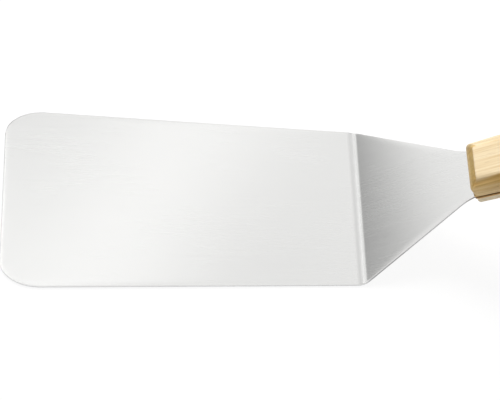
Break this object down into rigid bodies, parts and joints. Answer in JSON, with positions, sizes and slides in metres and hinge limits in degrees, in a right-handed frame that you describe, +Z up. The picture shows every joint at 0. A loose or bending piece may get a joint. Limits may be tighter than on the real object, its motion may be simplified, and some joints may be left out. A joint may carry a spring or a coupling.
{
  "type": "griddle spatula",
  "caption": "Griddle spatula with a wide bent steel blade, a tapering neck and a riveted light wood handle.",
  "frame": {"origin": "middle of the blade's flat underside, halfway between its front edge and its bend line", "axes": "+X along the blade from its front edge towards the handle, +Z up out of the blade, +Y to the left of the handle"},
  "size_m": [0.3236, 0.0966, 0.1007],
  "materials": {
    "sheet_steel": "fine brushed along the length",
    "handle_wood": "light straight-grained wood, oiled",
    "rivet_steel": "ground smooth"
  },
  "bodies": {
    "root": {"blade_and_tang": "sheet_steel", "upper_scale": "handle_wood", "lower_scale": "handle_wood", "rivet_pin_front": "rivet_steel", "rivet_pin_middle": "rivet_steel", "rivet_pin_rear": "rivet_steel", "rivet_socket_front": "rivet_steel", "rivet_socket_middle": "rivet_steel", "rivet_socket_rear": "rivet_steel"}
  },
  "joints": []
}
